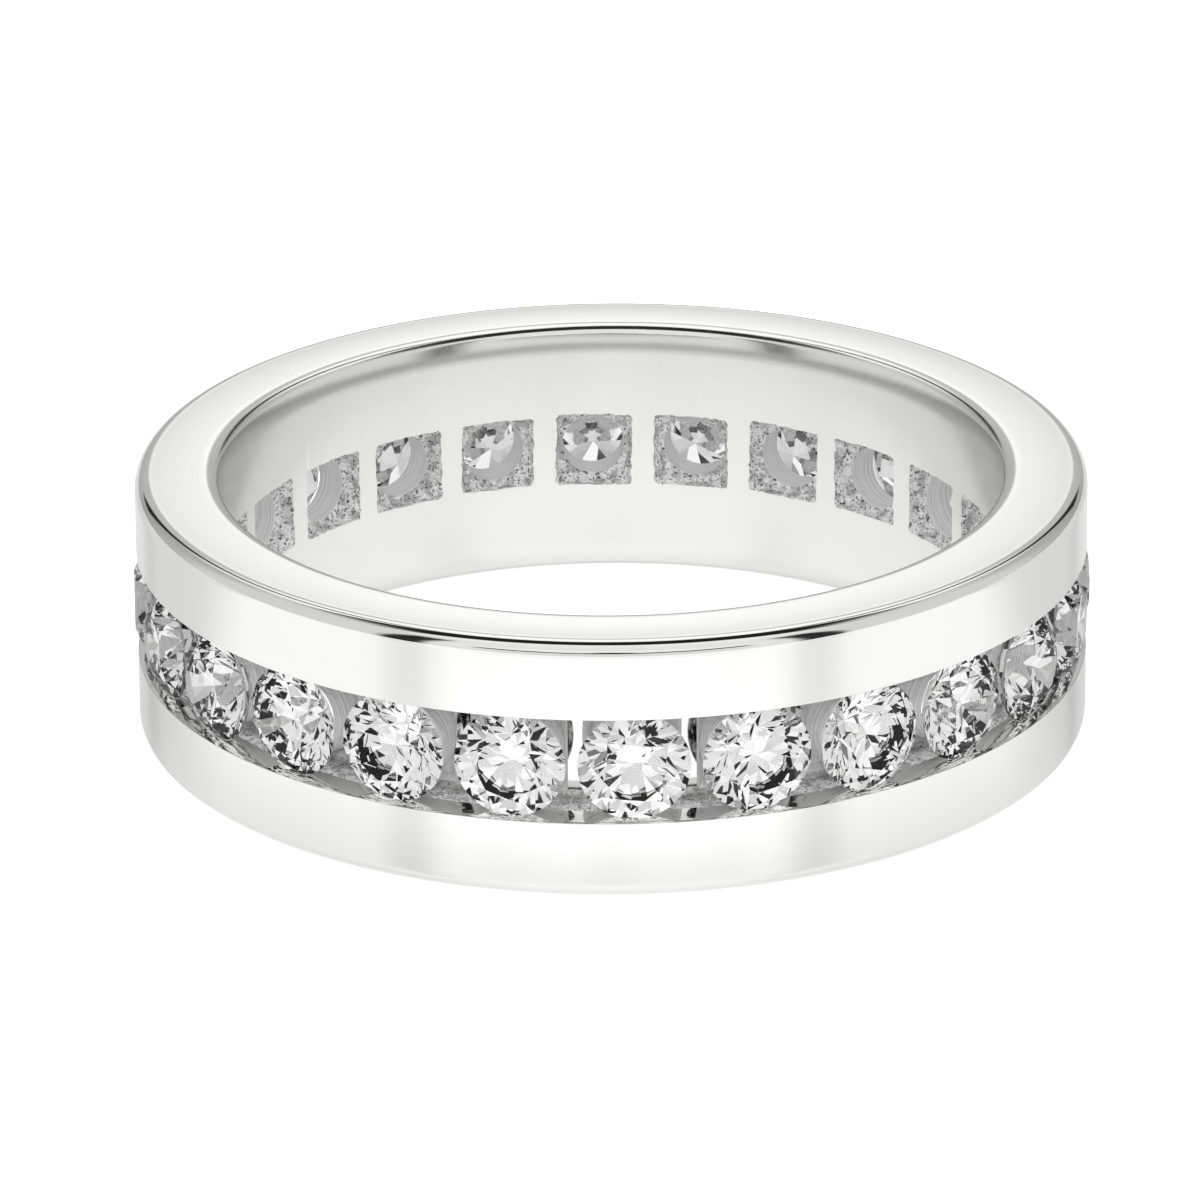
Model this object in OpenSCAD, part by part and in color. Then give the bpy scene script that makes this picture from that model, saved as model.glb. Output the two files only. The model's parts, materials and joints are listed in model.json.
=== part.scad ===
// Eternity band: a flat white gold ring with one row of round brilliants set in a channel.
// The ring's axis is Z, and the origin is the centre of the finger hole at half width.

/* [Band] */
// Radius of the flat outer wall
outer_r = 10.6; // [10.3:0.1:11.2]
// Radius of the finger hole at half width
bore_r = 8.65; // [8.2:0.05:8.8]
// Width of the band along the finger
band_w = 5.95; // [5.4:0.05:8]
// Radius of the rounding where the outer wall meets the side faces
outer_round = 0.25; // [0.1:0.05:0.5]
// Radius of the long arc of the comfort-fit curve, at each end of the finger hole
comfort_r = 1.54; // [1.2:0.02:1.8]
// Angle through which the long arc turns outwards
comfort_turn = 24; // [18:1:30]
// Radius of the short arc between the long arc and the side face
edge_r = 0.3; // [0.2:0.02:0.4]
// Slope of the short arc where it meets the side face
edge_turn = 75; // [60:1:80]

/* [Channel] */
// Width of the channel between the two rails
channel_w = 2.31; // [2.2:0.01:2.36]
// Depth of the cross bars between the stones below the outer wall
channel_depth = 1.2; // [1.1:0.05:1.3]
// Width of a cross bar along its top
bar_w = 0.2; // [0.15:0.01:0.4]

/* [Stones] */
// Number of stones round the band
stones = 24; // [20:1:25]
// Diameter of a stone at its girdle
stone_d = 2.45; // [2.4:0.01:2.5]
// Turn of the row of stones, which sets one stone beside the front
row_turn = 2.5; // [0:0.5:15]
// How far a stone's table stands proud of the outer wall
table_proud = 0.05; // [0:0.01:0.1]
// Table width as a share of the stone's diameter
table_share = 0.56; // [0.53:0.01:0.6]
// Slope of the kite facets
crown_angle = 34.5; // [33:0.5:36]
// Slope of the pavilion main facets
pavilion_angle = 40.9; // [40:0.1:42]
// Thickness of the girdle at its widest places
girdle_t = 0.08; // [0.07:0.01:0.1]
// Clearance between a stone and its seat
seat_gap = 0.02; // [0.01:0.01:0.04]

/* [Windows] */
// Size of a window round the finger
window_round = 1.76; // [1.6:0.02:1.8]
// Size of a window along the finger
window_high = 1.7; // [1.6:0.02:1.8]
// Depth at which the square window has narrowed to the round hole
window_depth = 0.35; // [0.25:0.05:0.5]
// Diameter of the round hole behind a stone
hole_d = 1.44; // [1.3:0.02:1.5]
// Thickness of the web that the round hole goes through
web_t = 0.1; // [0.08:0.01:0.14]
// Size round the finger of the flat bottom between two cross bars
well_round = 1.72; // [1.5:0.02:1.8]
// Size along the finger of the flat bottom between two cross bars
well_high = 1.8; // [1.5:0.02:1.9]
// Ledge left between the mouth of a well and each rail
well_ledge = 0.1; // [0.05:0.01:0.2]

/* [Hidden] */
half_w = band_w / 2;
floor_r = outer_r - channel_depth;
girdle_r = stone_d / 2;
table_r = girdle_r * table_share;
crown_h = (girdle_r - table_r) * tan(crown_angle);
pavilion_h = girdle_r * tan(pavilion_angle);
// Distance from the ring's axis to the middle of each stone's girdle
girdle_at = outer_r + table_proud - crown_h - girdle_t / 2;
// Length of a comfort-fit curve along the finger, and how far it opens out
comfort_w = comfort_r * sin(comfort_turn) + edge_r * (sin(edge_turn) - sin(comfort_turn));
comfort_rise = comfort_r * (1 - cos(comfort_turn)) + edge_r * (cos(comfort_turn) - cos(edge_turn));
bore_half = half_w - comfort_w;
// Centres of its two arcs, in line with the point where they meet without a corner
long_centre = [bore_r + comfort_r, bore_half];
short_centre = long_centre + (comfort_r - edge_r) * [-cos(comfort_turn), sin(comfort_turn)];
web_low = bore_r + window_depth;
pitch = 360 / stones;
front = -90;
// Overlap that lets a cutting shape run past the surface that it cuts
past = 0.4;
// Facets repeat in equal sectors, each split in half by the facets beside the girdle
sectors = 8;
half_sector = 180 / sectors;
// Straight pieces of girdle beside each half facet
girdle_steps = 3;
girdle_points = 2 * sectors * girdle_steps;
// How far a star tip reaches from the table's edge to the girdle
star_reach = 0.5;
// How far from the culet the lower half facets end, as a share of the girdle radius
lower_end = 0.24;
// Degrees by which each stone is turned in its seat after the one before
stone_turn_step = 17;
$fn = 96;

function stone_name(i) = str("stone_", i < 10 ? "0" : "", i);

// A point in the stone's own frame, where Z points out through the table
function polar(r, angle, z) = [r * cos(angle), r * sin(angle), z];

// Height of a main facet's plane above the girdle, at radius r and angle off from the facet's middle
function main_height(r, off, slope) = (girdle_r - r * cos(off)) * tan(slope);

// Height of a half facet at the girdle. The facet runs through its inner tip, at radius tip_r and
// height tip_h, and through the girdle at both of its ends, so it dips where the girdle bulges.
function half_height(off, tip_r, tip_h) =
    let (chord_at = girdle_r * cos(half_sector / 2))
    let (tip_at = tip_r * cos(half_sector / 2))
    let (edge_at = girdle_r * cos(off - half_sector / 2))
    tip_h * (chord_at - edge_at) / (chord_at - tip_at);

// One ring of girdle points, above or below the girdle's middle
function girdle_ring(side, tip_r, tip_h) = [
    for (k = [0:girdle_points - 1])
        let (off = (k % girdle_steps) * half_sector / girdle_steps)
        polar(girdle_r, k * 360 / girdle_points, side * (girdle_t / 2 + half_height(off, tip_r, tip_h)))
];

table_edge = table_r * cos(half_sector);
star_r = table_edge + star_reach * (girdle_r - table_edge);
star_h = main_height(star_r, half_sector, crown_angle);
lower_r = lower_end * girdle_r;
lower_h = main_height(lower_r, half_sector, pavilion_angle);

// A round brilliant with its girdle's middle at Z = 0
module brilliant() {
    table = [for (k = [0:sectors - 1]) polar(table_r, k * 2 * half_sector, girdle_t / 2 + crown_h)];
    star = [for (k = [0:sectors - 1]) polar(star_r, (2 * k + 1) * half_sector, girdle_t / 2 + star_h)];
    lower = [for (k = [0:sectors - 1]) polar(lower_r, (2 * k + 1) * half_sector, -girdle_t / 2 - lower_h)];
    culet = [0, 0, -girdle_t / 2 - pavilion_h];
    // Where each group of points starts in the list of points
    at_star = sectors;
    at_top = 2 * sectors;
    at_base = at_top + girdle_points;
    at_lower = at_base + girdle_points;
    at_culet = at_lower + sectors;
    // Girdle points from one kite's foot to the next
    steps = 2 * girdle_steps;
    function next(k) = (k + 1) % sectors;
    function on_girdle(start, k) = start + k % girdle_points;
    table_face = [[for (k = [sectors - 1:-1:0]) k]];
    star_faces = [for (k = [0:sectors - 1]) [k, next(k), at_star + k]];
    kite_faces = [
        for (k = [0:sectors - 1])
            [next(k), at_star + next(k), on_girdle(at_top, next(k) * steps), at_star + k]
    ];
    upper_faces = [
        for (k = [0:sectors - 1], half = [0, girdle_steps])
            concat(
                [at_star + k],
                [for (s = [girdle_steps:-1:0]) on_girdle(at_top, k * steps + half + s)]
            )
    ];
    girdle_faces = [
        for (k = [0:girdle_points - 1])
            [on_girdle(at_top, k), on_girdle(at_top, k + 1), on_girdle(at_base, k + 1), on_girdle(at_base, k)]
    ];
    lower_faces = [
        for (k = [0:sectors - 1], half = [0, girdle_steps])
            concat(
                [at_lower + k],
                [for (s = [0:girdle_steps]) on_girdle(at_base, k * steps + half + s)]
            )
    ];
    main_faces = [
        for (k = [0:sectors - 1])
            [at_culet, at_lower + k, on_girdle(at_base, next(k) * steps), at_lower + next(k)]
    ];
    polyhedron(
        points = concat(
            table,
            star,
            girdle_ring(1, star_r, star_h),
            girdle_ring(-1, lower_r, lower_h),
            lower,
            [culet]
        ),
        faces = concat(
            table_face,
            star_faces,
            kite_faces,
            upper_faces,
            girdle_faces,
            lower_faces,
            main_faces
        ),
        convexity = 2
    );
}

// Turns a shape so that its Z runs outwards from the ring's axis through stone i
module toward_stone(i) {
    rotate([0, 0, front + row_turn + (i - 1) * pitch])
        rotate([0, 90, 0])
            children();
}

module stone(i) {
    // Each stone is dropped into its seat at its own turn
    turn = (i * stone_turn_step) % (2 * half_sector);
    color([0.92, 0.95, 0.98])
        toward_stone(i)
            translate([0, 0, girdle_at])
                rotate([0, 0, turn])
                    brilliant();
}

// Four-sided block with flat ends, which are given by height and by half sizes along and round the finger
module tapered_block(low, low_half, top, top_half) {
    corners = [[-1, -1], [1, -1], [1, 1], [-1, 1]];
    polyhedron(
        points = concat(
            [for (c = corners) [c[0] * low_half[0], c[1] * low_half[1], low]],
            [for (c = corners) [c[0] * top_half[0], c[1] * top_half[1], top]]
        ),
        faces = [[0, 1, 2, 3], [7, 6, 5, 4], [0, 4, 5, 1], [1, 5, 6, 2], [2, 6, 7, 3], [3, 7, 4, 0]]
    );
}

// Square window that narrows from the finger hole to the round hole
module window() {
    // Where the window's side edges meet the round wall
    mouth = sqrt(bore_r * bore_r - window_round * window_round / 4);
    hole_half = [hole_d / 2, hole_d / 2];
    mouth_half = [window_high / 2, window_round / 2];
    past_half = mouth_half + (mouth_half - hole_half) * past / (web_low - mouth);
    tapered_block(mouth - past, past_half, web_low, hole_half);
}

// Well between two cross bars, which narrows towards the web with the round hole
module well() {
    low = web_low + web_t;
    low_half = [well_high / 2, well_round / 2];
    // Side edge of a cross bar's top, seen from the stone between two of them
    bar_edge = [
        floor_r * cos(pitch / 2) + bar_w / 2 * sin(pitch / 2),
        floor_r * sin(pitch / 2) - bar_w / 2 * cos(pitch / 2)
    ];
    mouth_half = [channel_w / 2 - well_ledge, bar_edge[1]];
    past_half = mouth_half + [0, (mouth_half[1] - low_half[1]) * past / (bar_edge[0] - low)];
    tapered_block(low, low_half, bar_edge[0] + past, past_half);
}

// Round seat: a hole that widens outwards to the girdle, a groove for the girdle in both rails,
// and a cone that clears the crown under the lips of the rails
module seat() {
    seat_r = girdle_r + seat_gap;
    hole_low = web_low - seat_gap;
    groove_low = girdle_at - girdle_t / 2 - seat_gap;
    groove_top = girdle_at + girdle_t / 2 + seat_gap;
    clear_top = outer_r + past;
    clear_r = seat_r - (clear_top - groove_top) / tan(crown_angle);
    rotate_extrude()
        polygon([
            [0, hole_low],
            [hole_d / 2, hole_low],
            [seat_r, groove_low],
            [seat_r, groove_top],
            [clear_r, clear_top],
            [0, clear_top]
        ]);
}

// What rounds the section's outer corner and opens the finger hole, on the side where the axis points
module edge_cuts() {
    difference() {
        translate([outer_r - outer_round, half_w - outer_round])
            square(outer_round + past);
        translate([outer_r - outer_round, half_w - outer_round])
            circle(outer_round);
    }
    difference() {
        translate([bore_r - past, bore_half])
            square([comfort_rise + past, comfort_w + past]);
        intersection() {
            translate(long_centre)
                circle(comfort_r);
            polygon([
                long_centre,
                [bore_r - past, bore_half],
                [bore_r - past, bore_half + (comfort_r + past) * tan(comfort_turn)]
            ]);
        }
        translate(short_centre)
            circle(edge_r);
    }
}

module band_section() {
    difference() {
        translate([bore_r, -half_w])
            square([outer_r - bore_r, band_w]);
        translate([floor_r, -channel_w / 2])
            square([channel_depth + past, channel_w]);
        edge_cuts();
        mirror([0, 1])
            edge_cuts();
    }
}

module band() {
    color("gainsboro")
        difference() {
            // The turned body starts and ends at the middle of a cross bar
            rotate([0, 0, front + row_turn + pitch / 2])
                rotate_extrude()
                    band_section();
            for (i = [1:stones])
                toward_stone(i) {
                    seat();
                    well();
                    window();
                }
        }
}

band();
for (i = [1:stones])
    stone(i);
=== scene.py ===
import json
import math
import random

import bpy
from mathutils import Matrix, Vector


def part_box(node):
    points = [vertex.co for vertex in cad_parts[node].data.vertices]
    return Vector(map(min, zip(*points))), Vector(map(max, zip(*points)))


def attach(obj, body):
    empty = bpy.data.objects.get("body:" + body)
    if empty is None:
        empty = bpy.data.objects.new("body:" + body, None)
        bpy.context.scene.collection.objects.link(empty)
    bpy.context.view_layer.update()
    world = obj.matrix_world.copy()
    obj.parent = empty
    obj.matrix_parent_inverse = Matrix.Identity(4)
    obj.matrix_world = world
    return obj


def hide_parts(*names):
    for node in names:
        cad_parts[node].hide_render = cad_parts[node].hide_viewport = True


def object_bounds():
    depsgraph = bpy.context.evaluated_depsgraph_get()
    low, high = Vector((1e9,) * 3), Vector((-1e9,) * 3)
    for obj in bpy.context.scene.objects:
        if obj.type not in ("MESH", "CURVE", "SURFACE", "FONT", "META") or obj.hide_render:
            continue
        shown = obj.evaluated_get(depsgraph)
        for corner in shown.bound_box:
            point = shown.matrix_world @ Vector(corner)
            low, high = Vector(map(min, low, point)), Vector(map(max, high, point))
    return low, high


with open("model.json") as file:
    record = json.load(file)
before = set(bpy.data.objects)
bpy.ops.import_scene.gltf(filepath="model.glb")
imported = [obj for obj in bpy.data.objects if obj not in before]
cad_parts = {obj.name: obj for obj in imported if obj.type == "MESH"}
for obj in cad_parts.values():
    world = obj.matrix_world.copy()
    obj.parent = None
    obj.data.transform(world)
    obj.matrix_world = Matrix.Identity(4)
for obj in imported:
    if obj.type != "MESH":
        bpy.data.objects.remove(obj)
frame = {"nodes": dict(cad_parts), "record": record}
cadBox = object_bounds()
mm = 0.001
print("frame loaded:", len(frame["nodes"]), "nodes")


def linear(hexColour):
    # sRGB hex to the linear values that shaders take
    levels = [int(hexColour[at:at + 2], 16) / 255 for at in (1, 3, 5)]
    return [c / 12.92 if c <= 0.04045 else ((c + 0.055) / 1.055) ** 2.4 for c in levels] + [1.0]


def addNode(tree, kind, sockets=None, **settings):
    # sockets takes a value or another node's output for each input, by name or number
    node = tree.nodes.new(kind)
    for name, value in settings.items():
        setattr(node, name, value)
    for name, value in (sockets or {}).items():
        if isinstance(value, bpy.types.NodeSocket):
            tree.links.new(value, node.inputs[name])
        else:
            node.inputs[name].default_value = value
    return node


def setStops(ramp, stops):
    # stops are (place, grey level) pairs in rising order
    elements = ramp.color_ramp.elements
    while len(elements) > 1:
        elements.remove(elements[-1])
    elements[0].position = stops[0][0]
    elements[0].color = [stops[0][1]] * 3 + [1.0]
    for place, level in stops[1:]:
        elements.new(place).color = [level] * 3 + [1.0]


def soften(tree, value, start, end, low=0.0, high=1.0):
    # low up to start, high from end on, and a smooth change between them
    sockets = {"Value": value, "From Min": start, "From Max": end, "To Min": low, "To Max": high}
    return addNode(tree, "ShaderNodeMapRange", sockets, interpolation_type="SMOOTHSTEP").outputs[0]


def deselectAll():
    if bpy.context.object and bpy.context.object.mode != "OBJECT":
        bpy.ops.object.mode_set(mode="OBJECT")
    bpy.ops.object.select_all(action="DESELECT")


def makeActive(piece):
    deselectAll()
    piece.select_set(True)
    bpy.context.view_layer.objects.active = piece


# Camera, at the photograph's angle and distance
camera = {
    "target": (-0.265, 0.0, -0.290),  # point at the middle of the picture, mm
    "distance": 230.6,  # mm
    "elevation": 21.97,  # degrees above the floor
    "roll": -0.395,  # degrees
    "lens": 309.5,  # mm
    "sensor": 36,  # mm
    "nearest": 0.01,  # m, between these two the camera sees
    "farthest": 10,
}


def addCamera(settings):
    elevation = math.radians(settings["elevation"])
    roll = math.radians(settings["roll"])
    forward = Vector((0, math.cos(elevation), -math.sin(elevation)))
    level = Vector((1, 0, 0))
    upright = Vector((0, math.sin(elevation), math.cos(elevation)))
    right = math.cos(roll) * level + math.sin(roll) * upright
    up = math.cos(roll) * upright - math.sin(roll) * level
    place = (Vector(settings["target"]) - settings["distance"] * forward) * mm
    data = bpy.data.cameras.new("view")
    data.lens = settings["lens"]
    data.sensor_width = settings["sensor"]
    data.clip_start = settings["nearest"]
    data.clip_end = settings["farthest"]
    holder = bpy.data.objects.new("view", data)
    bpy.context.scene.collection.objects.link(holder)
    turn = Matrix((right, up, -forward)).transposed().to_4x4()
    holder.matrix_world = Matrix.Translation(place) @ turn
    bpy.context.scene.camera = holder
    return -forward


towardCamera = addCamera(camera)
bpy.context.scene.view_settings.view_transform = "Standard"
print("camera placed")

# Studio: a soft tent all round, with a black flag overhead and a lamp's glow low at the back
studio = {
    # light along the arc from the front horizon, 0, over the top to the back horizon, 180 degrees
    "arc": [
        (0, 1.00), (12, 1.10), (24, 1.45), (36, 1.25), (50, 1.15), (80, 1.30), (84, 0.02), (110, 0.02),
        (114, 1.5), (134, 1.5), (147, 0.74), (180, 0.60),
    ],
    # light round the two sides, by the turn from the front
    "sides": [(0, 1.2), (40, 1.15), (60, 1.0), (105, 0.95), (130, 0.62), (150, 0.45), (180, 0.45)],
    "sideFrom": 0.38,  # share of sideways direction where the side light starts to take over
    "sideTo": 0.65,
    "glow": 0.80,  # extra light in the middle of the glow
    "glowElevation": 22,  # degrees
    "glowHalf": 8.5,  # degrees from its middle to its end
    "slotElevation": 20.4,  # dark slot between the front screens, which the lens looks through
    "slotHigh": 2.8,  # degrees, half its height
    "slotWide": 30,  # degrees, half its width
    # dark gaps between the screens: degrees from the front, half width, and the elevations
    # that they run between
    "gaps": [(50, 7.5, -10, 40), (150, 6, 14, 55)],
    "lensHalf": 6,  # degrees, dark round of the lens
    "dark": 0.03,
    # where each dark part starts or ends its fade, as a multiple of its own size
    "slotHighFade": 1.3,
    "slotWideFade": 1.2,
    "lensFade": 0.9,
    "gapFade": 0.5,
    "gapTopFade": 1.3,
    "gapFootFade": 0.05,  # radians
    "brightest": 2.0,  # a ramp's levels stop at 1, so they are shares of this
    # how much brighter matt surfaces find it, in place of the many reflections that a render
    # leaves out
    "matt": 1.7,
    "backdrop": 1.2,  # what the camera sees behind the floor
}


def rampLight(tree, angle, stops, brightest):
    # light by an angle from 0 to half a turn, from (degrees, level) stops
    share = addNode(tree, "ShaderNodeMath", {0: angle, 1: math.pi}, operation="DIVIDE").outputs[0]
    ramp = addNode(tree, "ShaderNodeValToRGB", {0: share})
    ramp.color_ramp.interpolation = "EASE"
    setStops(ramp, [(degrees / 180, level / brightest) for degrees, level in stops])
    light = {0: ramp.outputs[0], 1: brightest}
    return addNode(tree, "ShaderNodeMath", light, operation="MULTIPLY").outputs[0]


def angleFrom(tree, direction, toward):
    nearness = addNode(
        tree, "ShaderNodeVectorMath", {0: direction, 1: toward}, operation="DOT_PRODUCT",
    ).outputs["Value"]
    return addNode(tree, "ShaderNodeMath", {0: nearness}, operation="ARCCOSINE").outputs[0]


def distanceFrom(tree, angle, middle):
    # how far an angle is from the middle one, to either side
    past = addNode(tree, "ShaderNodeMath", {0: angle, 1: middle}, operation="SUBTRACT").outputs[0]
    return addNode(tree, "ShaderNodeMath", {0: past}, operation="ABSOLUTE").outputs[0]


def addStudio(settings):
    world = bpy.data.worlds.new("studio")
    bpy.context.scene.world = world
    world.use_nodes = True
    tree = world.node_tree
    tree.nodes.clear()
    direction = addNode(tree, "ShaderNodeTexCoord").outputs["Generated"]
    parts = addNode(tree, "ShaderNodeSeparateXYZ", {0: direction}).outputs
    front = addNode(tree, "ShaderNodeMath", {0: parts["Y"], 1: -1.0}, operation="MULTIPLY").outputs[0]
    aside = addNode(tree, "ShaderNodeMath", {0: parts["X"]}, operation="ABSOLUTE").outputs[0]
    # angle from the front horizon over the top, and angle round from the front
    over = addNode(tree, "ShaderNodeMath", {0: parts["Z"], 1: front}, operation="ARCTAN2").outputs[0]
    turn = addNode(tree, "ShaderNodeMath", {0: aside, 1: front}, operation="ARCTAN2").outputs[0]
    rise = addNode(tree, "ShaderNodeMath", {0: parts["Z"]}, operation="ARCSINE").outputs[0]
    arcLight = rampLight(tree, over, settings["arc"], settings["brightest"])
    sideLight = rampLight(tree, turn, settings["sides"], settings["brightest"])
    toSide = soften(tree, aside, settings["sideFrom"], settings["sideTo"])
    tent = addNode(tree, "ShaderNodeMix", {0: toSide, 2: arcLight, 3: sideLight}).outputs[0]
    low = math.radians(settings["glowElevation"])
    fromGlow = angleFrom(tree, direction, (0, math.cos(low), math.sin(low)))
    glow = soften(tree, fromGlow, 0.0, math.radians(settings["glowHalf"]), settings["glow"], 0.0)
    lit = addNode(tree, "ShaderNodeMath", {0: tent, 1: glow}, operation="ADD").outputs[0]
    # the slot, the lens and the gaps are each 1 in their dark part and 0 in the light
    slotHigh = math.radians(settings["slotHigh"])
    slotWide = math.radians(settings["slotWide"])
    slotRise = distanceFrom(tree, rise, math.radians(settings["slotElevation"]))
    inHeight = soften(tree, slotRise, slotHigh, slotHigh * settings["slotHighFade"], 1.0, 0.0)
    inWidth = soften(tree, turn, slotWide, slotWide * settings["slotWideFade"], 1.0, 0.0)
    inSlot = addNode(tree, "ShaderNodeMath", {0: inHeight, 1: inWidth}, operation="MULTIPLY").outputs[0]
    lensHalf = math.radians(settings["lensHalf"])
    fromLens = angleFrom(tree, direction, towardCamera)
    inLens = soften(tree, fromLens, lensHalf * settings["lensFade"], lensHalf, 1.0, 0.0)
    shade = addNode(tree, "ShaderNodeMath", {0: inSlot, 1: inLens}, operation="MAXIMUM").outputs[0]
    for gap in settings["gaps"]:
        middle, half, foot, top = [math.radians(angle) for angle in gap]
        fromGap = distanceFrom(tree, turn, middle)
        inWidth = soften(tree, fromGap, half * settings["gapFade"], half, 1.0, 0.0)
        overFoot = soften(tree, rise, foot - settings["gapFootFade"], foot)
        underTop = soften(tree, rise, top, top * settings["gapTopFade"], 1.0, 0.0)
        tall = {0: overFoot, 1: underTop}
        inHeight = addNode(tree, "ShaderNodeMath", tall, operation="MULTIPLY").outputs[0]
        inGap = addNode(tree, "ShaderNodeMath", {0: inWidth, 1: inHeight}, operation="MULTIPLY").outputs[0]
        shade = addNode(tree, "ShaderNodeMath", {0: shade, 1: inGap}, operation="MAXIMUM").outputs[0]
    shaded = addNode(tree, "ShaderNodeMix", {0: shade, 2: lit, 3: settings["dark"]}).outputs[0]
    rays = addNode(tree, "ShaderNodeLightPath").outputs
    scattered = {0: rays["Is Diffuse Ray"], 2: 1.0, 3: settings["matt"]}
    fuller = addNode(tree, "ShaderNodeMix", scattered).outputs[0]
    given = addNode(tree, "ShaderNodeMath", {0: shaded, 1: fuller}, operation="MULTIPLY").outputs[0]
    seen = addNode(
        tree, "ShaderNodeMix", {0: rays["Is Camera Ray"], 2: given, 3: settings["backdrop"]},
    ).outputs[0]
    background = addNode(tree, "ShaderNodeBackground", {"Strength": seen})
    addNode(tree, "ShaderNodeOutputWorld", {"Surface": background.outputs[0]})


addStudio(studio)

# Floor: a white sheet, glossy enough to pass the studio on to the metal, with painted light and shade in
# what the metal and stones see of it: a painted glow, brighter in front than behind, a painted pool of light
# before the ring, painted shade round the ring's foot and painted light inside the ring
floor = {
    "radius": 400,  # mm
    "steps": 128,
    "white": "#F7F7F7",
    "paintedLight": 0.68,  # painted light in front of the ring, a glow that stands in for the studio's light on the floor
    "paintedBackLight": 0.41,  # and less painted light behind it
    "liftFrom": -6,  # mm along Y, where the first starts to change to the second
    "liftTo": 1,
    "paintedSpotLight": 0.32,  # a painted pool of light in a spot before the ring
    "spotPlace": (0, -19, 0),
    "spotRadius": 14,
    "foot": 0.78,  # painted shade round the ring's foot: share of the painted light that is left where the ring stands
    "footShadeFrom": 11,
    "footShadeTo": 15,
    "paintedInsideLight": 0.7,  # painted light inside the ring
    "insideRadius": 8,
    "insideFade": 1.3,  # where that has ended, as a multiple of the radius
    "seenLift": 0.62,  # light of its own where the camera sees it
    "matt": 0.3,  # share of the room's light that it scatters
    "gloss": 0.4,
    "glossRoughness": 0.3,
}


def addFloor(settings, height):
    deselectAll()
    bpy.ops.mesh.primitive_circle_add(
        vertices=settings["steps"], radius=settings["radius"] * mm, fill_type="NGON",
        location=(0, 0, height),
    )
    ground = bpy.context.object
    ground.name = "floor"
    bpy.ops.object.transform_apply(location=True, rotation=True, scale=True)
    material = bpy.data.materials.new("white sheet with painted light and shade")
    material.use_nodes = True
    tree = material.node_tree
    tree.nodes.clear()
    place = addNode(tree, "ShaderNodeTexCoord").outputs["Object"]
    away = addNode(tree, "ShaderNodeVectorMath", {0: place}, operation="LENGTH").outputs["Value"]
    white = linear(settings["white"])

    def share(amount):
        return [level * amount for level in white[:3]] + [1.0]

    matt = addNode(tree, "ShaderNodeBsdfDiffuse", {"Color": share(settings["matt"])})
    along = addNode(tree, "ShaderNodeSeparateXYZ", {0: place}).outputs["Y"]
    # painted light, brighter in front of the ring than behind it
    outside = soften(
        tree, along, settings["liftFrom"] * mm, settings["liftTo"] * mm, settings["paintedLight"],
        settings["paintedBackLight"],
    )
    spot = [measure * mm for measure in settings["spotPlace"]]
    fromSpot = addNode(
        tree, "ShaderNodeVectorMath", {0: place, 1: spot}, operation="DISTANCE",
    ).outputs["Value"]
    # painted pool of light before the ring
    extra = soften(tree, fromSpot, 0, settings["spotRadius"] * mm, settings["paintedSpotLight"], 0)
    outside = addNode(tree, "ShaderNodeMath", {0: outside, 1: extra}, operation="ADD").outputs[0]
    # painted shade round the ring's foot
    foot = soften(tree, away, settings["footShadeFrom"] * mm, settings["footShadeTo"] * mm, settings["foot"], 1.0)
    outside = addNode(tree, "ShaderNodeMath", {0: outside, 1: foot}, operation="MULTIPLY").outputs[0]
    inside = settings["insideRadius"] * mm
    # painted light inside the ring, joined to the painted light outside it
    paintedLight = soften(tree, away, inside, inside * settings["insideFade"], settings["paintedInsideLight"], outside)
    # the floor glows with this painted light wherever the metal and stones see it
    lit = addNode(tree, "ShaderNodeEmission", {"Color": white, "Strength": paintedLight})
    gloss = addNode(
        tree, "ShaderNodeBsdfGlossy",
        {"Color": share(settings["gloss"]), "Roughness": settings["glossRoughness"]},
    )
    body = addNode(tree, "ShaderNodeAddShader", {0: matt.outputs[0], 1: lit.outputs[0]}).outputs[0]
    reflected = addNode(tree, "ShaderNodeAddShader", {0: body, 1: gloss.outputs[0]}).outputs[0]
    mattSeen = addNode(tree, "ShaderNodeBsdfDiffuse", {"Color": white})
    litSeen = addNode(tree, "ShaderNodeEmission", {"Color": white, "Strength": settings["seenLift"]})
    seen = addNode(tree, "ShaderNodeAddShader", {0: mattSeen.outputs[0], 1: litSeen.outputs[0]}).outputs[0]
    ray = addNode(tree, "ShaderNodeLightPath").outputs["Is Camera Ray"]
    either = addNode(tree, "ShaderNodeMixShader", {0: ray, 1: reflected, 2: seen})
    addNode(tree, "ShaderNodeOutputMaterial", {"Surface": either.outputs[0]})
    ground.data.materials.append(material)


addFloor(floor, cadBox[0].z)
print("studio lit")

# Metals and stone
metal = {
    "colour": "#E9E9E8",  # rhodium-plated white gold
    "polishRoughness": 0.05,
    "boreRoughness": 0.2,  # the finger side is only tumbled
    "boreFrom": 0.05,  # mm beyond the finger hole's radius, where the one changes to the other
    "boreTo": 0.3,
    "peelSize": 0.5,  # mm
    "peelDeep": 0.0006,
    "hazeSize": 0.12,
    "haze": 0.04,  # most roughness that the haze adds
    "burColour": "#F6F6F5",
    "burRoughness": 0.45,
    "burRing": 0.06,  # mm from one ring to the next, coarser than the real ones so that they show
    "burMetallic": 0.3,  # a frosted skin scatters part of the light all round
    "burChatter": 0.2,  # mm
    "burDeep": 0.04,
    "burDark": 0.7,
}
castSkin = {
    "metallic": 0.15,  # a frosted skin scatters most of the light all round
    "roughness": 0.35,
    "pitSize": 0.10,  # mm, coarser than the real pits so that they show
    "pitDeep": 0.14,
    "speckSize": 0.06,
    "cloudSize": 0.25,
    "windowSpecks": 0.42,  # noise level at which the specks start
    "channelSpecks": 0.41,
}
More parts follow.
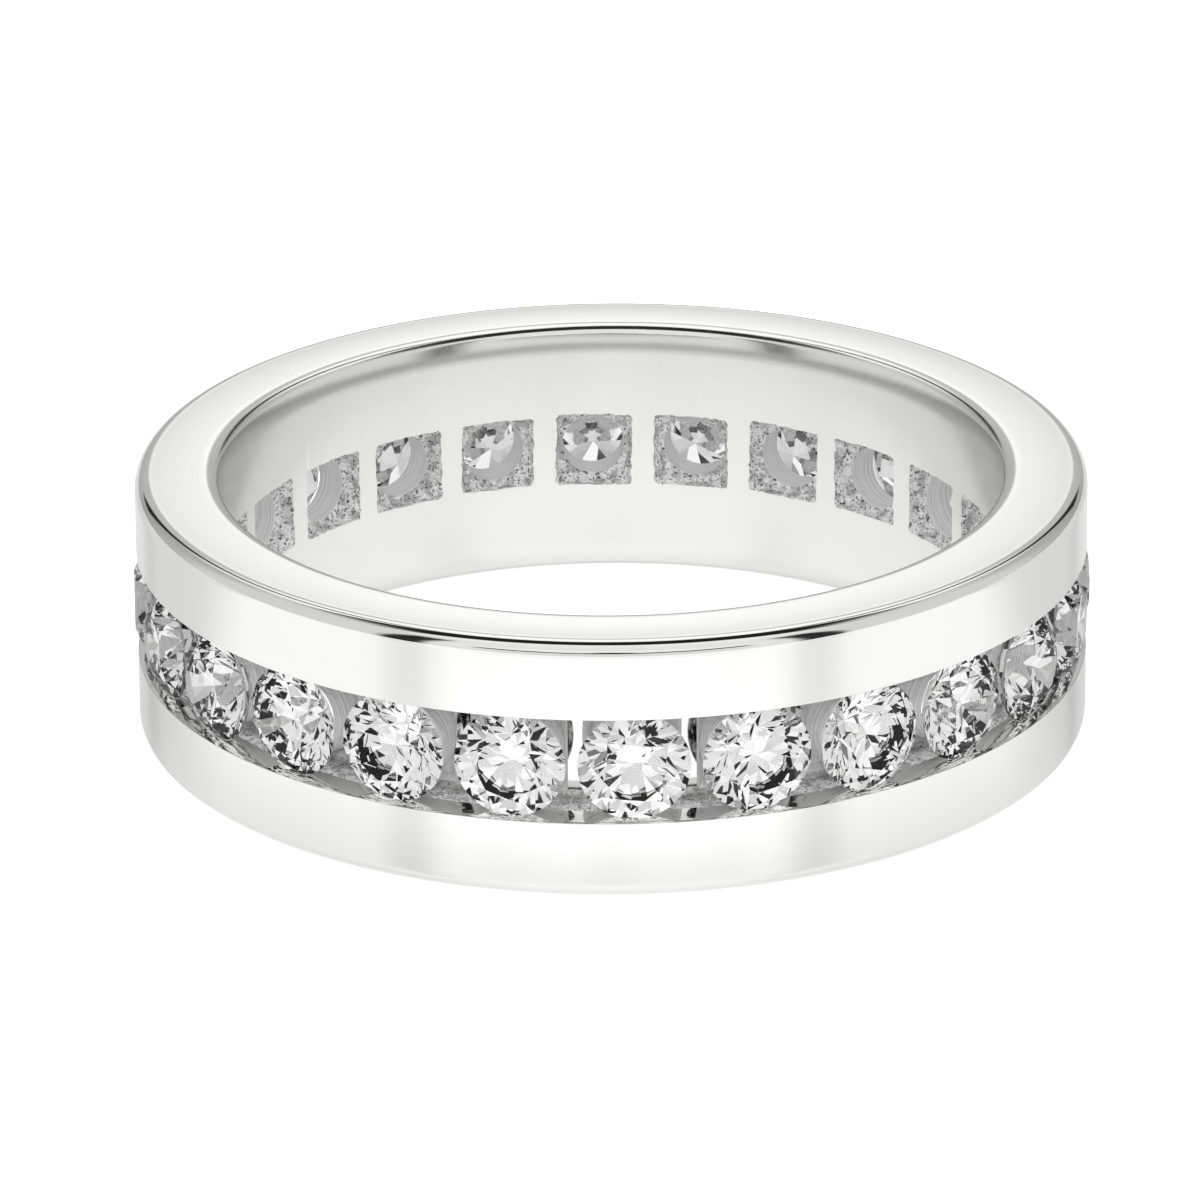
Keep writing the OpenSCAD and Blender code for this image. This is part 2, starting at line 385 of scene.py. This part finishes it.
gem = {
    "colour": "#EAEAEA",
    "mirror": "#585858",  # keeps the studio's mirror image on the table faint
    "ior": 2.417,
    "girdleLean": 0.35,  # faces whose normals turn this little to the outside are the girdle
    "girdleRoughness": 0.35,
}


def startMaterial(name):
    material = bpy.data.materials.new(name)
    material.use_nodes = True
    tree = material.node_tree
    tree.nodes.clear()
    place = addNode(tree, "ShaderNodeTexCoord").outputs["Object"]
    return material, tree, place


def grain(tree, place, size, detail):
    # noise whose lumps are about size mm across
    sockets = {"Vector": place, "Scale": 1 / (size * mm), "Detail": detail, "Roughness": 0.55}
    return addNode(tree, "ShaderNodeTexNoise", sockets).outputs[0]


def besideAxis(tree, place):
    # a point's place without its height, which is how it lies from the ring's axis
    return addNode(tree, "ShaderNodeVectorMath", {0: place, 1: (1, 1, 0)}, operation="MULTIPLY").outputs[0]


def polishedGold(settings):
    # rhodium-plated white gold: buffed to a mirror outside, with the buff's faint orange peel,
    # and softer where the finger side was only tumbled
    material, tree, place = startMaterial("rhodium-plated white gold, polished")
    peel = grain(tree, place, settings["peelSize"], 2)
    deep = settings["peelDeep"] * mm
    bump = addNode(tree, "ShaderNodeBump", {"Height": peel, "Strength": 0.5, "Distance": deep})
    beside = besideAxis(tree, place)
    radius = addNode(tree, "ShaderNodeVectorMath", {0: beside}, operation="LENGTH").outputs["Value"]
    softness = soften(
        tree, radius, (band["bore"] + settings["boreFrom"]) * mm, (band["bore"] + settings["boreTo"]) * mm,
        settings["boreRoughness"], settings["polishRoughness"],
    )
    smears = grain(tree, place, settings["hazeSize"], 3)
    sockets = {"Value": smears, "From Min": 0.3, "From Max": 0.7, "To Min": 0.0, "To Max": settings["haze"]}
    haze = addNode(tree, "ShaderNodeMapRange", sockets).outputs[0]
    roughness = addNode(tree, "ShaderNodeMath", {0: softness, 1: haze}, operation="ADD").outputs[0]
    sockets = {
        "Base Color": linear(settings["colour"]), "Metallic": 1.0, "Roughness": roughness,
        "Normal": bump.outputs[0],
    }
    shader = addNode(tree, "ShaderNodeBsdfPrincipled", sockets)
    addNode(tree, "ShaderNodeOutputMaterial", {"Surface": shader.outputs[0]})
    return material


def castGold(name, settings, dark):
    # white gold as it left the mould, plated but never buffed: a pitted skin that glitters,
    # with dark specks where the pits are too deep for light to come back out
    material, tree, place = startMaterial(name)
    pits = grain(tree, place, settings["pitSize"], 3)
    deep = settings["pitDeep"] * mm
    bump = addNode(tree, "ShaderNodeBump", {"Height": pits, "Strength": 1.0, "Distance": deep})
    specks = addNode(tree, "ShaderNodeValToRGB", {0: grain(tree, place, settings["speckSize"], 2)})
    setStops(specks, [(dark - 0.08, 0.05), (dark - 0.02, 0.6), (dark + 0.04, 1.0)])
    cloud = addNode(tree, "ShaderNodeValToRGB", {0: grain(tree, place, settings["cloudSize"], 3)})
    setStops(cloud, [(0.42, 0.6), (0.54, 1.0)])
    both = {0: 1.0, 6: specks.outputs[0], 7: cloud.outputs[0]}
    colour = addNode(tree, "ShaderNodeMix", both, data_type="RGBA", blend_type="MULTIPLY")
    shader = addNode(
        tree, "ShaderNodeBsdfPrincipled",
        {
            "Base Color": colour.outputs[2], "Metallic": settings["metallic"],
            "Roughness": settings["roughness"], "Normal": bump.outputs[0],
        },
    )
    addNode(tree, "ShaderNodeOutputMaterial", {"Surface": shader.outputs[0]})
    return material


def burCutGold(settings):
    # white gold turned away by the setter's bur and left unbuffed: soft satin, with fine rings
    # where the bur turned
    material, tree, place = startMaterial("rhodium-plated white gold, bur cut")
    chatter = grain(tree, place, settings["burChatter"], 2)
    deep = settings["burDeep"] * mm
    bump = addNode(tree, "ShaderNodeBump", {"Height": chatter, "Strength": 1.0, "Distance": deep})
    beside = besideAxis(tree, place)
    radius = addNode(tree, "ShaderNodeVectorMath", {0: beside}, operation="LENGTH").outputs["Value"]
    ringed = {"W": radius, "Scale": 1 / (settings["burRing"] * mm), "Detail": 3}
    rings = addNode(tree, "ShaderNodeTexNoise", ringed, noise_dimensions="1D").outputs[0]
    streaks = addNode(tree, "ShaderNodeValToRGB", {0: rings})
    setStops(streaks, [(0.35, settings["burDark"]), (0.6, linear(settings["burColour"])[0])])
    shader = addNode(
        tree, "ShaderNodeBsdfPrincipled",
        {
            "Base Color": streaks.outputs[0], "Metallic": settings["burMetallic"],
            "Roughness": settings["burRoughness"], "Normal": bump.outputs[0],
        },
    )
    addNode(tree, "ShaderNodeOutputMaterial", {"Surface": shader.outputs[0]})
    return material


def cutDiamond(settings):
    # colourless diamond: facets polished to a mirror, and a girdle left matt from the bruting wheel
    material, tree, place = startMaterial("brilliant-cut diamond")
    geometry = addNode(tree, "ShaderNodeNewGeometry").outputs
    beside = besideAxis(tree, place)
    outward = addNode(tree, "ShaderNodeVectorMath", {0: beside}, operation="NORMALIZE").outputs[0]
    facing = addNode(
        tree, "ShaderNodeVectorMath", {0: geometry["True Normal"], 1: outward}, operation="DOT_PRODUCT",
    ).outputs["Value"]
    tilt = addNode(tree, "ShaderNodeMath", {0: facing}, operation="ABSOLUTE").outputs[0]
    onGirdle = {0: tilt, 1: settings["girdleLean"]}
    girdle = addNode(tree, "ShaderNodeMath", onGirdle, operation="LESS_THAN").outputs[0]
    bruted = {0: girdle, 1: settings["girdleRoughness"]}
    matt = addNode(tree, "ShaderNodeMath", bruted, operation="MULTIPLY").outputs[0]
    shader = addNode(
        tree, "ShaderNodeBsdfPrincipled",
        {
            "Base Color": linear(settings["colour"]), "Roughness": matt, "IOR": settings["ior"],
            "Transmission Weight": 1.0, "Specular Tint": linear(settings["mirror"]),
        },
    )
    # what the frosted metal scatters passes the stone straight, in place of its countless small
    # reflections
    clear = addNode(tree, "ShaderNodeBsdfTransparent")
    ray = addNode(tree, "ShaderNodeLightPath").outputs["Is Diffuse Ray"]
    either = addNode(tree, "ShaderNodeMixShader", {0: ray, 1: shader.outputs[0], 2: clear.outputs[0]})
    addNode(tree, "ShaderNodeOutputMaterial", {"Surface": either.outputs[0]})
    return material


# Band: one sector from the middle of a cross bar to the next, cut out for its stone, then copied round
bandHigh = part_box("band")[1]
stoneNames = sorted(name for name in frame["nodes"] if name.startswith("stone_"))
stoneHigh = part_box(stoneNames[0])[1]
boreMount = next(mount for mount in frame["record"]["mounts"] if mount["name"] == "finger_bore")
band = {
    "outer": bandHigh.y / mm,  # radius of the outer wall
    "halfWidth": bandHigh.z / mm,
    "bore": boreMount["dims"]["r_mm"],
    "sectors": len(stoneNames),
    "firstTurn": -90 + 2.5,  # where the first stone is, degrees
    "spinSteps": 16,  # steps round one sector
    "crest": 9.15,  # radius of the side faces' highest line
    "faceLean": 1.7,  # how far the side faces lean outwards at their outer edge, degrees
    "outerRound": 0.345,
    "comfort": [(1.45, 19), (0.20, 54), (0.44, 89)],  # radius of each arc, and the turn that it ends at
    "lipDeep": 0.09,  # bright-cut chamfer of a rail's edge along the channel
    "lipHigh": 0.04,
    "lipRound": 0.02,
    "channelHalf": 1.155,
    "ledgeRise": 0.015,  # the polished outer part of the channel's walls opens out by this
    "barTop": 9.4,  # radius of the cross bars' tops
    "castBelow": 9.98,  # radius below which the channel's walls keep their cast skin
    "holdBack": 0.01,  # support line beside a rounding, which keeps the flat flat
    "arcSteps": {"comfort": 8, "face": 10, "round": 12, "lip": 6},
    "merge": 0.0005,  # points nearer than this become one
    "endSlack": 0.0001,  # radians, a sector's end faces are found this near its ends
    "smoothAngle": 15,
}
seat = {
    "holeHalf": 0.72,  # radius of the hole from the window to the stone
    "holeLow": 8.5,  # the cutter starts inside the finger hole, so that it goes right through the web
    "pavilionAngle": 40.9,
    "girdle": stoneHigh.z / mm + 0.02,  # radius of the girdle's groove, with the CAD's clearance
    "grooveLow": 10.1796,
    "grooveTop": 10.2996,
    "crownAngle": 34.5,
    "top": 11.0,
    "steps": 72,
}
# the cup is the metal round each hole, from the web up to the stone's pavilion
cup = {
    "low": 9.05,  # where it starts, inside the web
    "lowHalf": 0.98,
    "top": 9.95,
    "topHalf": 0.92,
    "steps": 60,
}
well = {
    "low": 9.1,
    "lowRound": 0.86,  # half sizes round and along the finger
    "lowHigh": 0.9,
    "mouth": 9.733,
    "mouthRound": 1.403,
    "mouthHigh": 1.055,
    "corner": 0.08,
    "rings": 4,
    "sidePoints": 6,
}
window = {
    "low": 8.2,  # where the cutter starts, inside the finger hole
    "past": 1.12,  # how much wider it is there
    "mouth": 8.6053,  # where its sides meet the finger hole
    "web": 9.0,
    "mouthRound": 0.88,  # half sizes round and along the finger
    "mouthHigh": 0.85,
    "corner": 0.10,
    "rings": 6,
    "sidePoints": 11,
    "funnel": 1.3,  # over 1, the walls stay square at first and round off late
    "rough": 0.022,
    "turn": 1.6,  # most that a window is askew, degrees
    "shift": 0.02,
    "sizeChange": 0.02,
    "seed": 11,
}

polished = polishedGold(metal)
cast = castGold(
    "rhodium-plated white gold, cast skin of the windows", castSkin, castSkin["windowSpecks"],
)
channelCast = castGold(
    "rhodium-plated white gold, cast skin of the channel", castSkin, castSkin["channelSpecks"],
)
burCut = burCutGold(metal)
diamond = cutDiamond(gem)
print("materials made")


def arc(centre, radius, first, last, steps):
    angles = [math.radians(first + (last - first) * step / steps) for step in range(steps + 1)]
    return [(centre[0] + radius * math.cos(angle), centre[1] + radius * math.sin(angle)) for angle in angles]


def bandOutline(b):
    # (radius, height) points of the upper half, from the finger hole round the rail to the channel's floor
    steps = b["arcSteps"]
    place = [b["bore"], 0.0]
    curve = [tuple(place)]
    before = 0.0
    for radius, turn in b["comfort"]:
        first, last = math.radians(before), math.radians(turn)
        centre = (place[0] + radius * math.cos(first), place[1] - radius * math.sin(first))
        curve += arc(centre, radius, 180 - before, 180 - turn, steps["comfort"])[1:]
        place = [centre[0] - radius * math.cos(last), centre[1] + radius * math.sin(last)]
        before = turn
    curveHigh = place[1]
    curve = [(radius, high + b["halfWidth"] - curveHigh) for radius, high in curve]
    faceStart = place[0]
    # the side face is a shallow arc that leans outwards from its crest
    faceEnd = b["outer"] - b["outerRound"]
    faceRadius = (faceEnd - b["crest"]) / math.sin(math.radians(b["faceLean"]))
    startLean = math.degrees(math.asin((faceStart - b["crest"]) / faceRadius))
    faceCentre = (b["crest"], b["halfWidth"] - faceRadius)
    curve += arc(faceCentre, faceRadius, 90 - startLean, 90 - b["faceLean"], steps["face"])[1:]
    roundCentre = (faceEnd, curve[-1][1] - b["outerRound"] * math.cos(math.radians(b["faceLean"])))
    curve += arc(roundCentre, b["outerRound"], 90 - b["faceLean"], 0, steps["round"])
    curve.append((b["outer"], roundCentre[1] - b["holdBack"]))
    # outer wall, small rounding, chamfer, channel wall
    chamferLean = math.degrees(math.atan2(b["lipDeep"], b["lipHigh"]))
    lipCentre = (b["outer"] - b["lipRound"], b["channelHalf"] + b["lipHigh"] + b["lipRound"])
    curve.append((b["outer"], lipCentre[1] + b["holdBack"]))
    curve += arc(lipCentre, b["lipRound"], 0, -chamferLean, steps["lip"])
    curve.append((b["outer"] - b["lipDeep"] - b["lipRound"], b["channelHalf"] + b["ledgeRise"]))
    curve.append((b["castBelow"], b["channelHalf"]))
    curve.append((b["barTop"], b["channelHalf"]))
    return curve + [(radius, -high) for radius, high in reversed(curve)]


def addOutline(name, points, closed):
    # a plane merged to one point, which is then extruded from point to point
    deselectAll()
    bpy.ops.mesh.primitive_plane_add(size=1, location=(0, 0, 0))
    piece = bpy.context.object
    piece.name = name
    bpy.ops.object.mode_set(mode="EDIT")
    bpy.ops.mesh.select_mode(type="VERT")
    bpy.ops.mesh.select_all(action="SELECT")
    bpy.ops.mesh.merge(type="CENTER")
    bpy.ops.transform.translate(value=points[0])
    for here, there in zip(points, points[1:]):
        bpy.ops.mesh.extrude_region_move(TRANSFORM_OT_translate={"value": Vector(there) - Vector(here)})
    if closed:
        bpy.ops.mesh.select_all(action="SELECT")
        bpy.ops.mesh.edge_face_add()
    return piece


def finishSolid(piece, distance):
    bpy.ops.mesh.select_all(action="SELECT")
    bpy.ops.mesh.remove_doubles(threshold=distance)
    bpy.ops.mesh.normals_make_consistent(inside=False)
    bpy.ops.object.mode_set(mode="OBJECT")


def selectFaces(piece, wanted):
    # faces picked by their middle and normal, left selected in edit mode
    makeActive(piece)
    bpy.ops.object.mode_set(mode="EDIT")
    bpy.ops.mesh.select_mode(type="FACE")
    bpy.ops.mesh.select_all(action="DESELECT")
    bpy.ops.object.mode_set(mode="OBJECT")
    for face in piece.data.polygons:
        face.select = wanted(face.center, face.normal)
    bpy.ops.object.mode_set(mode="EDIT")


def combine(piece, other, operation="DIFFERENCE", tangled=False):
    # tangled is for a roughened cutter, whose surface may cross itself here and there
    makeActive(piece)
    modifier = piece.modifiers.new("combine", "BOOLEAN")
    modifier.operation = operation
    modifier.solver = "EXACT"
    modifier.material_mode = "TRANSFER"
    modifier.use_self = tangled
    modifier.object = other
    bpy.ops.object.modifier_apply(modifier=modifier.name)


def copyOf(piece, name):
    copied = piece.copy()
    copied.data = piece.data.copy()
    copied.name = name
    bpy.context.scene.collection.objects.link(copied)
    return copied


def addSector(b):
    # turned rail and channel, half a pitch to each side of the stone
    pitch = 2 * math.pi / b["sectors"]
    piece = addOutline("band", [(radius, 0, high) for radius, high in bandOutline(b)], True)
    bpy.ops.mesh.select_all(action="SELECT")
    bpy.ops.transform.rotate(value=-pitch / 2, orient_axis="Z", center_override=(0, 0, 0))
    bpy.ops.mesh.spin(steps=b["spinSteps"], angle=pitch, center=(0, 0, 0), axis=(0, 0, 1))
    finishSolid(piece, b["merge"])
    piece.data.materials.append(polished)
    piece.data.materials.append(channelCast)
    inChannel = b["channelHalf"] + b["merge"]
    selectFaces(piece, lambda middle, normal: abs(middle.z) < inChannel
                and b["barTop"] < middle.xy.length < b["castBelow"])
    piece.active_material_index = 1
    bpy.ops.object.material_slot_assign()
    bpy.ops.object.mode_set(mode="OBJECT")
    return piece


def addTurned(name, profile, steps):
    # a solid turned about the X axis, from (along, radius) points
    piece = addOutline(name, [(along, 0, radius) for along, radius in profile], False)
    bpy.ops.mesh.select_all(action="SELECT")
    bpy.ops.mesh.spin(steps=steps, angle=2 * math.pi, center=(0, 0, 0), axis=(1, 0, 0))
    finishSolid(piece, band["merge"])
    piece.data.materials.append(burCut)
    return piece


def addSeatCutter(s):
    # hole, seat along the stone's pavilion, groove for the girdle, and the clearance above the crown
    coneLow = s["grooveLow"] - (s["girdle"] - s["holeHalf"]) * math.tan(math.radians(s["pavilionAngle"]))
    slope = 1 / math.tan(math.radians(s["crownAngle"]))
    profile = [
        (s["holeLow"], 0), (s["holeLow"], s["holeHalf"]), (coneLow, s["holeHalf"]),
        (s["grooveLow"], s["girdle"]), (s["grooveTop"], s["girdle"]),
        (s["top"], s["girdle"] - (s["top"] - s["grooveTop"]) * slope), (s["top"], 0),
    ]
    return addTurned("seat cutter", profile, s["steps"])


def addCup(c):
    profile = [(c["low"], 0), (c["low"], c["lowHalf"]), (c["top"], c["topHalf"]), (c["top"], 0)]
    return addTurned("cup", profile, c["steps"])


def addSquareOutline(name, along, half, corner, sidePoints):
    # flat rounded square across the X axis, with points along its sides
    deselectAll()
    bpy.ops.mesh.primitive_plane_add(size=1, location=(along, 0, 0), rotation=(0, math.pi / 2, 0))
    piece = bpy.context.object
    piece.name = name
    bpy.ops.object.transform_apply(location=True, rotation=True, scale=True)
    bpy.ops.object.mode_set(mode="EDIT")
    bpy.ops.mesh.select_mode(type="EDGE")
    bpy.ops.mesh.select_all(action="SELECT")
    bpy.ops.transform.resize(value=(1, 2 * half[0], 2 * half[1]), center_override=(along, 0, 0))
    bpy.ops.mesh.bevel(offset=corner, segments=3, affect="VERTICES")
    bpy.ops.mesh.select_all(action="DESELECT")
    bpy.ops.object.mode_set(mode="OBJECT")
    for edge in piece.data.edges:
        ends = [piece.data.vertices[at].co for at in edge.vertices]
        edge.select = (ends[0] - ends[1]).length > min(half)
    bpy.ops.object.mode_set(mode="EDIT")
    bpy.ops.mesh.subdivide(number_cuts=sidePoints, ngon=True)
    bpy.ops.mesh.select_all(action="SELECT")
    return piece


def extrudeRing(along, step, grow, rounder=0.0):
    # the selected end goes on by one step along X, wider or narrower, and rounder if asked
    bpy.ops.mesh.extrude_region_move(TRANSFORM_OT_translate={"value": (step, 0, 0)})
    middle = (along + step, 0, 0)
    bpy.ops.transform.resize(value=(1, grow[0], grow[1]), center_override=middle)
    if rounder:
        bpy.ops.transform.tosphere(value=rounder, center_override=middle)
    return along + step


def addWellCutter(w):
    start = (w["lowRound"], w["lowHigh"])
    cutter = addSquareOutline("well cutter", w["low"], start, w["corner"], w["sidePoints"])
    along = w["low"]
    step = (w["mouth"] - w["low"]) / w["rings"]
    for ring in range(w["rings"]):
        halves = [
            [low + (mouth - low) * count / w["rings"] for count in (ring, ring + 1)]
            for low, mouth in ((w["lowRound"], w["mouthRound"]), (w["lowHigh"], w["mouthHigh"]))
        ]
        along = extrudeRing(along, step, [after / before for before, after in halves])
    finishSolid(cutter, band["merge"])
    cutter.data.materials.append(burCut)
    return cutter


def addWindowCutter(w, hole):
    # square where it leaves the finger hole, and drawn in to the round hole at the web
    opening = (w["mouthRound"], w["mouthHigh"])
    start = [half * w["past"] for half in opening]
    cutter = addSquareOutline("window cutter", w["low"], start, w["corner"], w["sidePoints"])
    along = extrudeRing(w["low"], w["mouth"] - w["low"], [1 / w["past"]] * 2)
    step = (w["web"] - w["mouth"]) / w["rings"]
    before = 0.0
    for ring in range(w["rings"]):
        after = ((ring + 1) / w["rings"]) ** w["funnel"]
        sizes = [[half + (hole - half) * share for share in (before, after)] for half in opening]
        rounder = (after - before) / (1 - before)
        along = extrudeRing(along, step, [late / early for early, late in sizes], rounder)
        before = after
    # the last ring is a circle, which is brought to the hole's own size
    bpy.ops.object.mode_set(mode="OBJECT")
    last = [point.co for point in cutter.data.vertices if point.select]
    now = sum(math.hypot(place.y, place.z) for place in last) / len(last)
    bpy.ops.object.mode_set(mode="EDIT")
    bpy.ops.transform.resize(value=(1, hole / now, hole / now), center_override=(along, 0, 0))
    finishSolid(cutter, band["merge"])
    cutter.data.materials.append(cast)
    return cutter


def roughen(piece, offset, seed):
    makeActive(piece)
    bpy.ops.object.mode_set(mode="EDIT")
    bpy.ops.mesh.select_all(action="SELECT")
    bpy.ops.transform.vertex_random(offset=offset, uniform=1.0, normal=0.0, seed=seed)
    bpy.ops.object.mode_set(mode="OBJECT")


def addBand(b):
    sector = addSector(b)
    print("sector turned:", len(sector.data.polygons), "faces")
    wellCutter = addWellCutter(well)
    combine(sector, wellCutter)
    wholeCup = addCup(cup)
    combine(sector, wholeCup, "UNION")
    seatCutter = addSeatCutter(seat)
    print("cup added:", len(sector.data.polygons), "faces")
    windowCutter = addWindowCutter(window, seat["holeHalf"])
    chance = random.Random(window["seed"])
    pitch = 360 / b["sectors"]
    half = math.radians(pitch / 2) - b["endSlack"]
    pieces = []
    for number in range(b["sectors"]):
        piece = copyOf(sector, "sector")
        cutter = copyOf(windowCutter, "cutter")
        roughen(cutter, window["rough"], number + 1)
        bpy.ops.object.mode_set(mode="EDIT")
        askew = math.radians(chance.uniform(-window["turn"], window["turn"]))
        bpy.ops.transform.rotate(value=askew, orient_axis="X", center_override=(0, 0, 0))
        grown = [1 + chance.uniform(-window["sizeChange"], window["sizeChange"]) for axis in "yz"]
        bpy.ops.transform.resize(value=(1, grown[0], grown[1]), center_override=(0, 0, 0))
        moved = [chance.uniform(-window["shift"], window["shift"]) for axis in "yz"]
        bpy.ops.transform.translate(value=(0, moved[0], moved[1]))
        bpy.ops.object.mode_set(mode="OBJECT")
        combine(piece, cutter, tangled=True)
        combine(piece, seatCutter, tangled=True)
        selectFaces(piece, lambda middle, normal: abs(math.atan2(middle.y, middle.x)) > half)
        bpy.ops.mesh.delete(type="FACE")
        bpy.ops.mesh.select_all(action="SELECT")
        turn = math.radians(b["firstTurn"] + number * pitch)
        # this operator turns the other way in a script with no window
        bpy.ops.transform.rotate(value=-turn, orient_axis="Z", center_override=(0, 0, 0))
        bpy.ops.object.mode_set(mode="OBJECT")
        bpy.data.objects.remove(cutter)
        pieces.append(piece)
    deselectAll()
    for piece in pieces:
        piece.select_set(True)
    bpy.context.view_layer.objects.active = pieces[0]
    bpy.ops.object.join()
    whole = bpy.context.object
    whole.name = "polished_band"
    whole.data.name = "polished_band"
    bpy.ops.object.mode_set(mode="EDIT")
    finishSolid(whole, b["merge"])
    bpy.ops.object.mode_set(mode="EDIT")
    bpy.ops.mesh.select_all(action="SELECT")
    bpy.ops.transform.resize(value=(mm, mm, mm), center_override=(0, 0, 0))
    bpy.ops.object.mode_set(mode="OBJECT")
    bpy.ops.object.shade_smooth_by_angle(angle=math.radians(b["smoothAngle"]))
    for spare in (sector, wellCutter, wholeCup, seatCutter, windowCutter):
        bpy.data.objects.remove(spare)
    return whole


wholeBand = addBand(band)
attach(wholeBand, "root")
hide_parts("band")
print("band made:", len(wholeBand.data.polygons), "faces")

for name in stoneNames:
    stone = frame["nodes"][name]
    stone.data.materials.clear()
    stone.data.materials.append(diamond)
print("stones finished:", len(stoneNames))
